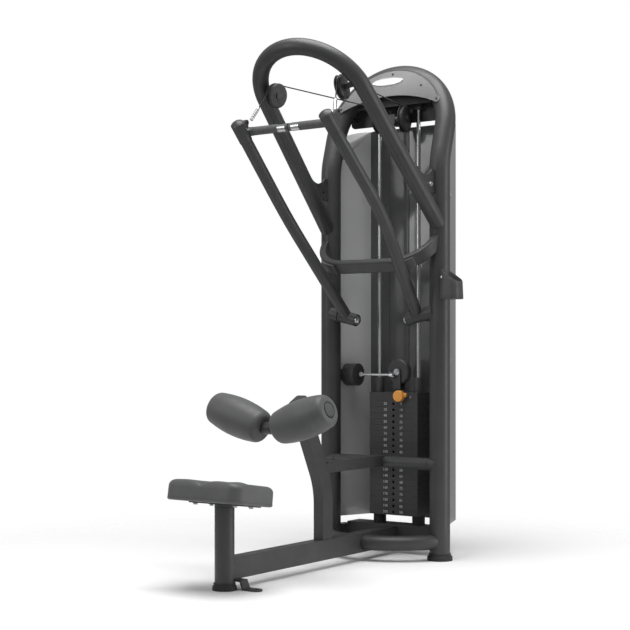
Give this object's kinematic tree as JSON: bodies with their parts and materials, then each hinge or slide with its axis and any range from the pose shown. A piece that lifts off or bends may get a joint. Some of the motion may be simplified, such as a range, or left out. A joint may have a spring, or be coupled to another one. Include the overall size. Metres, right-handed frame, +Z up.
{
  "type": "lat pulldown machine",
  "caption": "Seated pulldown machine: two swinging arms on a round tube frame lift a weight stack by cable, with thigh rollers over the seat.",
  "frame": {"origin": "centre of the seat post's foot, on the floor", "axes": "+Z up, +Y from the seat towards the weight stack, +X to the user's right when seated facing the stack"},
  "size_m": [0.719, 1.4398, 2.0598],
  "materials": {
    "frame_paint": "satin charcoal powder coat",
    "stop_rubber": "matte grey rubber",
    "foot_rubber": "matte black rubber",
    "grip_rubber": "matte dark rubber with fine ribs",
    "upholstery": "grey vinyl with a fine grain",
    "chrome": "polished chrome",
    "bolt_steel": "zinc plated steel",
    "plate_iron": "black textured paint on iron",
    "sleeve_plastic": "moulded dark plastic",
    "pulley_plastic": "moulded black plastic",
    "header_silver": "silver grey with a fine dot print",
    "badge_white": "gloss white, plain",
    "shroud_gloss": "smoked grey gloss sheet",
    "knob_orange": "orange moulded plastic",
    "cable_black": "dark nylon over steel cable"
  },
  "bodies": {
    "root": {"base_beam": "frame_paint", "base_bow": "frame_paint", "stack_base": "frame_paint", "uprights": "frame_paint", "top_arch": "frame_paint", "loop_legs": "frame_paint", "loop_bow": "frame_paint", "gusset_plates": "frame_paint", "stop_bar": "frame_paint", "stop_pads": "stop_rubber", "stack_crossbar": "frame_paint", "post_brace": "frame_paint", "thigh_post": "frame_paint", "roller_axle": "frame_paint", "seat_post": "frame_paint", "seat_plate": "frame_paint", "seat_pad": "upholstery", "rubber_feet": "foot_rubber", "anchor_tab": "frame_paint", "guide_rods": "chrome", "stack_bumpers": "foot_rubber", "weight_plates": "plate_iron", "cross_plate": "frame_paint", "header_panel": "header_silver", "header_badge": "badge_white", "rear_shroud": "shroud_gloss", "frame_bolts": "bolt_steel", "bottle_holder": "sleeve_plastic", "addon_spindle": "frame_paint", "loop_pulley_arms": "frame_paint", "tower_pulley_bracket": "frame_paint", "pivot_shafts": "chrome", "top_cables": "cable_black", "lift_cables": "cable_black", "left_arm_cable": "cable_black", "right_arm_cable": "cable_black"},
    "stack": {"head_plate": "plate_iron", "guide_sleeves": "sleeve_plastic", "lift_bracket": "frame_paint", "lift_axle": "chrome", "pickup_rod": "chrome", "lift_loop": "cable_black"},
    "moving_pulley": {"lift_pulley": "pulley_plastic"},
    "pin": {"selector_pin": "knob_orange"},
    "addon": {"addon_weights": "plate_iron"},
    "arm_left": {"left_arm": "frame_paint", "left_arm_sleeve": "frame_paint", "left_handle": "chrome", "left_grip": "grip_rubber"},
    "arm_right": {"right_arm": "frame_paint", "right_arm_sleeve": "frame_paint", "right_handle": "chrome", "right_grip": "grip_rubber"},
    "loop_pulley_left": {"left_loop_pulley": "pulley_plastic"},
    "loop_pulley_right": {"right_loop_pulley": "pulley_plastic"},
    "tower_pulley_left": {"left_tower_pulley": "pulley_plastic"},
    "tower_pulley_right": {"right_tower_pulley": "pulley_plastic"},
    "roller_left": {"left_roller": "upholstery"},
    "roller_right": {"right_roller": "upholstery"}
  },
  "joints": [
    {"name": "left_arm_swing", "type": "hinge", "parent": "root", "child": "arm_left", "pos_m": [-0.173, 1.0465, 0.992], "axis": [0.9724, 0, -0.2334], "range_deg": [0, 50]},
    {"name": "right_arm_swing", "type": "hinge", "parent": "root", "child": "arm_right", "pos_m": [0.173, 1.0465, 0.992], "axis": [0.9724, 0, 0.2334], "range_deg": [0, 50]},
    {"name": "stack_lift", "type": "slide", "parent": "root", "child": "stack", "axis": [0, 0, 1], "range_m": [0, 0.832], "deforming": ["lift_cables"]},
    {"name": "moving_pulley_turn", "type": "hinge", "parent": "stack", "child": "moving_pulley", "pos_m": [0, 1.182, 0.762], "axis": [0, 1, 0], "continuous": true},
    {"name": "selector_pin_pull", "type": "slide", "parent": "stack", "child": "pin", "axis": [0, -1, 0], "range_m": [0, 0.045]},
    {"name": "addon_slide", "type": "slide", "parent": "root", "child": "addon", "axis": [1, 0, 0], "range_m": [0, 0.008]},
    {"name": "left_loop_pulley_turn", "type": "hinge", "parent": "root", "child": "loop_pulley_left", "pos_m": [-0.155, 0.517, 1.852], "axis": [0.9675, -0.1691, -0.1881], "range_deg": [0, 1140]},
    {"name": "right_loop_pulley_turn", "type": "hinge", "parent": "root", "child": "loop_pulley_right", "pos_m": [0.155, 0.517, 1.852], "axis": [0.9675, 0.1691, 0.1881], "range_deg": [0, 1140]},
    {"name": "left_tower_pulley_turn", "type": "hinge", "parent": "root", "child": "tower_pulley_left", "pos_m": [-0.05658, 1.13266, 1.826], "axis": [0.9869, -0.1616, 0], "range_deg": [0, 960]},
    {"name": "right_tower_pulley_turn", "type": "hinge", "parent": "root", "child": "tower_pulley_right", "pos_m": [0.05658, 1.13266, 1.826], "axis": [0.9869, 0.1616, 0], "range_deg": [0, 960]},
    {"name": "left_roller_turn", "type": "hinge", "parent": "root", "child": "roller_left", "pos_m": [-0.15, 0.272, 0.59974], "axis": [0.9511, 0, -0.309], "continuous": true},
    {"name": "right_roller_turn", "type": "hinge", "parent": "root", "child": "roller_right", "pos_m": [0.15, 0.272, 0.59974], "axis": [0.9511, 0, 0.309], "continuous": true}
  ],
  "couplings": [
    {"joint": "right_arm_swing", "follows": "left_arm_swing", "ratio": 1},
    {"joint": "stack_lift", "follows": "left_arm_swing", "m_per_rad": 0.953},
    {"joint": "left_loop_pulley_turn", "follows": "left_arm_swing", "ratio": 22.69},
    {"joint": "right_loop_pulley_turn", "follows": "left_arm_swing", "ratio": 22.69},
    {"joint": "left_tower_pulley_turn", "follows": "left_arm_swing", "ratio": 19.06},
    {"joint": "right_tower_pulley_turn", "follows": "left_arm_swing", "ratio": 19.06}
  ]
}
